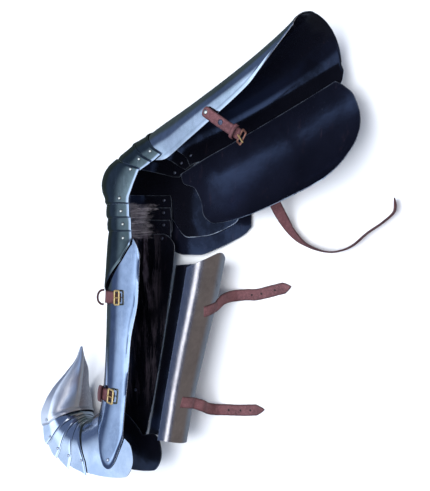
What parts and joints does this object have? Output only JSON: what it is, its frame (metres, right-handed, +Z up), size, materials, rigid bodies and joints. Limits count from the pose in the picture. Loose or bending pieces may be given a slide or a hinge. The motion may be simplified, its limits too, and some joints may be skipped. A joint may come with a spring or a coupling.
{
  "type": "plate armour leg harness",
  "caption": "Plate armour for one leg: thigh plate, domed knee cop on sliding lames, keeled shin plate with hinged calf plate, and a pointed banded foot, with leather straps.",
  "frame": {"origin": "on the surface the leg lies on, under the middle of the model's box", "axes": "+Z up from the surface, which is toward the leg's inner side; +Y up the shin, from foot to thigh; +X toward the back of the leg"},
  "size_m": [0.5944, 0.7264, 0.189],
  "materials": {
    "plate_steel": "polished, dark and worn inside",
    "hinge_steel": "polished",
    "rivet_steel": "polished domes",
    "leather": "worn reddish brown, matt",
    "brass": "worn satin"
  },
  "bodies": {
    "greave": {"greave_front": "plate_steel", "greave_hinge_leaf_upper": "hinge_steel", "greave_hinge_leaf_lower": "hinge_steel", "greave_strap_upper": "leather", "greave_strap_lower": "leather", "greave_keeper_upper": "leather", "greave_keeper_lower": "leather", "greave_buckle_upper": "brass", "greave_buckle_lower": "brass", "ankle_rivet_inner": "rivet_steel", "ankle_rivet_outer": "rivet_steel"},
    "calf": {"calf_plate": "plate_steel", "calf_hinge_leaf_upper": "hinge_steel", "calf_hinge_leaf_lower": "hinge_steel", "calf_strap_upper": "leather", "calf_strap_lower": "leather"},
    "lame_lower_3": {"knee_lame_lower_3": "plate_steel", "knee_rivet_low3_greave_inner": "rivet_steel", "knee_rivet_low3_greave_outer": "rivet_steel"},
    "lame_lower_2": {"knee_lame_lower_2": "plate_steel", "knee_rivet_low2_low3_inner": "rivet_steel", "knee_rivet_low2_low3_outer": "rivet_steel"},
    "lame_lower_1": {"knee_lame_lower_1": "plate_steel", "knee_rivet_low1_low2_inner": "rivet_steel", "knee_rivet_low1_low2_outer": "rivet_steel"},
    "cop": {"knee_cop": "plate_steel", "knee_wing": "plate_steel", "knee_rivet_cop_low1_inner": "rivet_steel", "knee_rivet_cop_low1_outer": "rivet_steel", "knee_rivet_cop_up1_inner": "rivet_steel", "knee_rivet_cop_up1_outer": "rivet_steel"},
    "lame_upper_1": {"knee_lame_upper_1": "plate_steel", "knee_rivet_up1_up2_inner": "rivet_steel", "knee_rivet_up1_up2_outer": "rivet_steel"},
    "lame_upper_2": {"knee_lame_upper_2": "plate_steel", "knee_rivet_up2_cuisse_inner": "rivet_steel", "knee_rivet_up2_cuisse_outer": "rivet_steel"},
    "cuisse": {"cuisse_plate": "plate_steel", "cuisse_hinge_leaf_upper": "hinge_steel", "cuisse_hinge_leaf_lower": "hinge_steel", "cuisse_buckle_strap": "leather", "cuisse_strap_rivet": "rivet_steel", "cuisse_buckle": "brass", "cuisse_keeper": "leather", "cuisse_tongue": "brass"},
    "side_plate": {"cuisse_side_plate": "plate_steel", "side_plate_hinge_leaf_upper": "hinge_steel", "side_plate_hinge_leaf_lower": "hinge_steel", "cuisse_long_strap": "leather"},
    "ankle": {"ankle_plate": "plate_steel"},
    "foot_1": {"sabaton_lame_1": "plate_steel", "sabaton_rivet_lame_1": "rivet_steel"},
    "foot_2": {"sabaton_lame_2": "plate_steel", "sabaton_rivet_lame_2": "rivet_steel"},
    "foot_3": {"sabaton_lame_3": "plate_steel", "sabaton_rivet_lame_3": "rivet_steel"},
    "foot_4": {"sabaton_lame_4": "plate_steel", "sabaton_rivet_lame_4": "rivet_steel"},
    "toe": {"toe_cap": "plate_steel", "sabaton_rivet_toe": "rivet_steel"}
  },
  "joints": [
    {"name": "calf_hinge", "type": "hinge", "parent": "greave", "child": "calf", "pos_m": [-0.08885, -0.07519, 0.02548], "axis": [0.1793, 0.9821, -0.0582], "range_deg": [-34, 20]},
    {"name": "side_plate_hinge", "type": "hinge", "parent": "cuisse", "child": "side_plate", "pos_m": [0.04596, 0.1751, 0.02427], "axis": [0.9254, 0.3778, 0.0306], "range_deg": [-6, 16]},
    {"name": "shin_lame_pivot", "type": "hinge", "parent": "greave", "child": "lame_lower_3", "pos_m": [-0.11144, 0.02797, 0.06885], "axis": [0.1926, -0.0662, -0.979], "range_deg": [0, 3]},
    {"name": "lower_lame_3_pivot", "type": "hinge", "parent": "lame_lower_3", "child": "lame_lower_2", "pos_m": [-0.10997, 0.04994, 0.06765], "axis": [0.1926, -0.0662, -0.979], "range_deg": [0, 3]},
    {"name": "lower_lame_2_pivot", "type": "hinge", "parent": "lame_lower_2", "child": "lame_lower_1", "pos_m": [-0.11193, 0.07036, 0.06588], "axis": [0.1926, -0.0662, -0.979], "range_deg": [-1, 2]},
    {"name": "cop_pivot", "type": "hinge", "parent": "lame_lower_1", "child": "cop", "pos_m": [-0.11291, 0.0908, 0.06431], "axis": [0.1926, -0.0662, -0.979], "range_deg": [-3, 2]},
    {"name": "upper_lame_1_pivot", "type": "hinge", "parent": "cop", "child": "lame_upper_1", "pos_m": [-0.09083, 0.13599, 0.0656], "axis": [0.1926, -0.0662, -0.979], "range_deg": [-18, 2]},
    {"name": "upper_lame_2_pivot", "type": "hinge", "parent": "lame_upper_1", "child": "lame_upper_2", "pos_m": [-0.07562, 0.15166, 0.06753], "axis": [0.1926, -0.0662, -0.979], "range_deg": [-20, 2]},
    {"name": "cuisse_pivot", "type": "hinge", "parent": "lame_upper_2", "child": "cuisse", "pos_m": [-0.0555, 0.1634, 0.0707], "axis": [0.1926, -0.0662, -0.979], "range_deg": [-22, 1]},
    {"name": "ankle_pivot", "type": "hinge", "parent": "greave", "child": "ankle", "pos_m": [-0.15363, -0.32878, 0.08466], "axis": [0.1926, -0.0662, -0.979], "range_deg": [-10, 1]},
    {"name": "foot_pivot_1", "type": "hinge", "parent": "ankle", "child": "foot_1", "pos_m": [-0.20564, -0.33645, 0.07494], "axis": [0.1926, -0.0662, -0.979], "range_deg": [-5, 3]},
    {"name": "foot_pivot_2", "type": "hinge", "parent": "foot_1", "child": "foot_2", "pos_m": [-0.23115, -0.3308, 0.06954], "axis": [0.1926, -0.0662, -0.979], "range_deg": [-5, 3]},
    {"name": "foot_pivot_3", "type": "hinge", "parent": "foot_2", "child": "foot_3", "pos_m": [-0.25274, -0.32111, 0.06464], "axis": [0.1926, -0.0662, -0.979], "range_deg": [-5, 2]},
    {"name": "foot_pivot_4", "type": "hinge", "parent": "foot_3", "child": "foot_4", "pos_m": [-0.26746, -0.30335, 0.06054], "axis": [0.1926, -0.0662, -0.979], "range_deg": [-5, 2]},
    {"name": "toe_pivot", "type": "hinge", "parent": "foot_4", "child": "toe", "pos_m": [-0.27335, -0.27549, 0.0575], "axis": [0.1926, -0.0662, -0.979], "range_deg": [-5, 3]}
  ]
}
